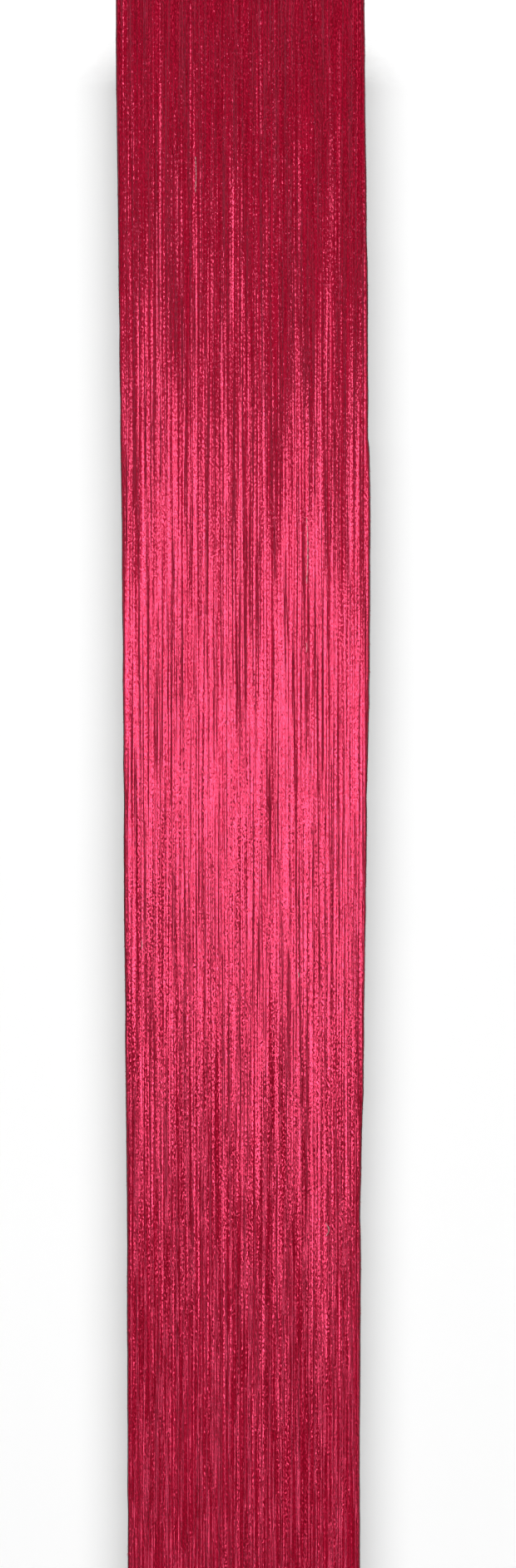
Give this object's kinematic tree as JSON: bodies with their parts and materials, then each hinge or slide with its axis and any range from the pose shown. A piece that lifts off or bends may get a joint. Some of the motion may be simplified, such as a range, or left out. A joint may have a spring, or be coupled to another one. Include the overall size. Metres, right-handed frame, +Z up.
{
  "type": "climbing skin",
  "caption": "Plush climbing skin for one ski: a glued nylon pile strip with a riveted wire tip bail and an adjustable ladder strap and hook at the tail.",
  "frame": {"origin": "inside face of the tip bail's top wire, at its middle, where a ski tip or a hanging peg bears", "axes": "+Z up the skin's length towards its tip, +X across the skin, -Y out of the plush face and +Y out of the glue face"},
  "size_m": [0.1331, 0.0223, 1.694],
  "materials": {
    "plush_nylon": "short directional nylon pile, silky along its nap",
    "woven_ground": "dark maroon woven ground cloth, seen only at the cut edge",
    "membrane_film": "thin waterproof film",
    "hotmelt_glue": "tacky dark hot-melt coat with a faint roller pattern",
    "webbing_black": "tight plain-weave nylon webbing",
    "bonded_thread": "bonded polyester thread",
    "stainless_wire": "drawn stainless wire",
    "stainless_sheet": "brushed stainless sheet",
    "rivet_steel": "bright tumbled steel",
    "buckle_alloy": "bead-blasted dark anodised alloy",
    "lever_alloy": "satin anodised alloy",
    "strap_elastomer": "matt moulded polyurethane",
    "moulded_grip": "soft-touch moulded plastic",
    "hook_rubber": "moulded rubber lining"
  },
  "bodies": {
    "front_half": {"plush_front": "plush_nylon", "backing_front": "woven_ground", "membrane_front": "membrane_film", "glue_front": "hotmelt_glue", "tip_sleeve": "webbing_black", "tip_cover_plate": "stainless_sheet", "tip_backing_plate": "stainless_sheet", "tip_rivets": "rivet_steel", "tip_washers": "rivet_steel", "tip_stitching": "bonded_thread"},
    "bail": {"tip_bail": "stainless_wire"},
    "rear_half": {"plush_rear": "plush_nylon", "backing_rear": "woven_ground", "membrane_rear": "membrane_film", "glue_rear": "hotmelt_glue", "tail_tab": "webbing_black", "tail_cover_plate": "stainless_sheet", "tail_backing_plate": "stainless_sheet", "tail_rivets": "rivet_steel", "tail_washers": "rivet_steel", "tail_stitching": "bonded_thread"},
    "buckle": {"buckle_frame": "buckle_alloy", "lever_pin": "rivet_steel"},
    "lever": {"cam_lever": "lever_alloy", "lever_grip": "moulded_grip"},
    "strap": {"tail_strap": "strap_elastomer", "pull_tab": "moulded_grip", "pull_tab_rivet": "rivet_steel"},
    "hook": {"tail_hook": "stainless_sheet", "hook_pin": "rivet_steel", "hook_pad": "hook_rubber"}
  },
  "joints": [
    {"name": "bail_swing", "type": "hinge", "parent": "front_half", "child": "bail", "pos_m": [0, 0, -0.05], "axis": [1, 0, 0], "range_deg": [-110, 110]},
    {"name": "skin_fold", "type": "hinge", "parent": "front_half", "child": "rear_half", "pos_m": [0, 0.0035, -0.9], "axis": [1, 0, 0], "range_deg": [0, 179]},
    {"name": "buckle_swing", "type": "hinge", "parent": "rear_half", "child": "buckle", "pos_m": [0, 0, -1.556], "axis": [-1, 0, 0], "range_deg": [-75, 0]},
    {"name": "lever_open", "type": "hinge", "parent": "buckle", "child": "lever", "pos_m": [0, -0.0125, -1.578], "axis": [-1, 0, 0], "range_deg": [0, 115]},
    {"name": "strap_slide", "type": "slide", "parent": "buckle", "child": "strap", "axis": [0, 0, 1], "range_m": [-0.025, 0.035]},
    {"name": "hook_swing", "type": "hinge", "parent": "strap", "child": "hook", "pos_m": [0, -0.0059, -1.664], "axis": [-1, 0, 0], "range_deg": [-60, 40]}
  ]
}
